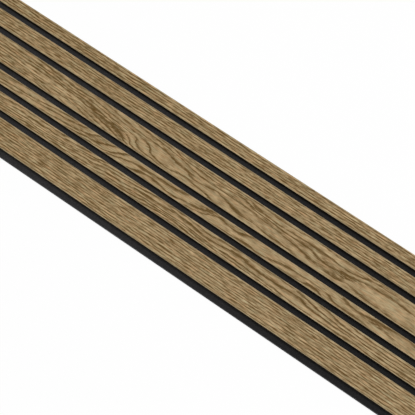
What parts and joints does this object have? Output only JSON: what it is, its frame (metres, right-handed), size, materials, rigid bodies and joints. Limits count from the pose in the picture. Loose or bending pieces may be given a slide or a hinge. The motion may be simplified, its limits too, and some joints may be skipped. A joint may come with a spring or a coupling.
{
  "type": "acoustic slat wall panel",
  "caption": "Straight wall panel with oak-faced slats of three widths on black felt, which shows in the grooves between them and as a lip along one long edge.",
  "frame": {"origin": "centre of the felt's back face, which lies on the wall", "axes": "+X along the slats, +Y across the panel from the felt lip to the flush edge, +Z out of the face into the room"},
  "size_m": [1.2, 0.302, 0.021],
  "materials": {
    "black_felt": "pressed polyester felt, matt",
    "black_fibreboard": "fibreboard dyed black, matt",
    "oak": "flat-sawn oak, matt oil",
    "staple_steel": "galvanised wire"
  },
  "bodies": {
    "root": {"felt_backing": "black_felt", "slat_1_core": "black_fibreboard", "slat_1_oak_face": "oak", "slat_2_core": "black_fibreboard", "slat_2_oak_face": "oak", "slat_3_core": "black_fibreboard", "slat_3_oak_face": "oak", "slat_4_core": "black_fibreboard", "slat_4_oak_face": "oak", "slat_5_core": "black_fibreboard", "slat_5_oak_face": "oak", "slat_6_core": "black_fibreboard", "slat_6_oak_face": "oak", "staples": "staple_steel"}
  },
  "joints": []
}
